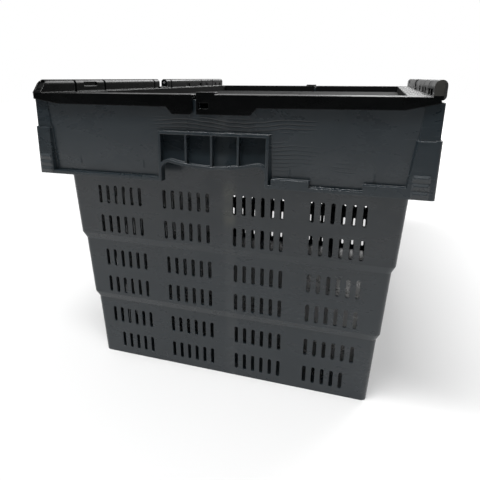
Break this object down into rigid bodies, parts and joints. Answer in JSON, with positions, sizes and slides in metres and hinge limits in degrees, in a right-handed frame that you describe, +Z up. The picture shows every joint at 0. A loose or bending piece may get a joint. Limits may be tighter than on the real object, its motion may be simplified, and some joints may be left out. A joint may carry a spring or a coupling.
{
  "type": "attached lid tote",
  "caption": "Stackable vented plastic tote with two interlocking lid halves hinged along its long sides and a hand grip at each end.",
  "frame": {"origin": "centre of the flat base that the tote stands on", "axes": "+Z up; Y along the long sides, with the front end at -Y; X across the ends, with the left lid at -X and the right lid at +X"},
  "size_m": [0.4, 0.6, 0.3398],
  "materials": {
    "body_plastic": "satin moulded polypropylene, dark blue-grey, with faint flow lines",
    "lid_plastic": "satin moulded polypropylene, black",
    "rod_steel": "drawn steel wire"
  },
  "bodies": {
    "tote": {"tote_body": "body_plastic", "rod_left_front": "rod_steel", "rod_left_rear": "rod_steel", "rod_right_front": "rod_steel", "rod_right_rear": "rod_steel"},
    "left_lid": {"lid_left": "lid_plastic"},
    "right_lid": {"lid_right": "lid_plastic"}
  },
  "joints": [
    {"name": "left_lid_hinge", "type": "hinge", "parent": "tote", "child": "left_lid", "pos_m": [-0.1932, 0, 0.3348], "axis": [0, -1, 0], "range_deg": [0, 270]},
    {"name": "right_lid_hinge", "type": "hinge", "parent": "tote", "child": "right_lid", "pos_m": [0.1932, 0, 0.3348], "axis": [0, 1, 0], "range_deg": [0, 270]}
  ]
}
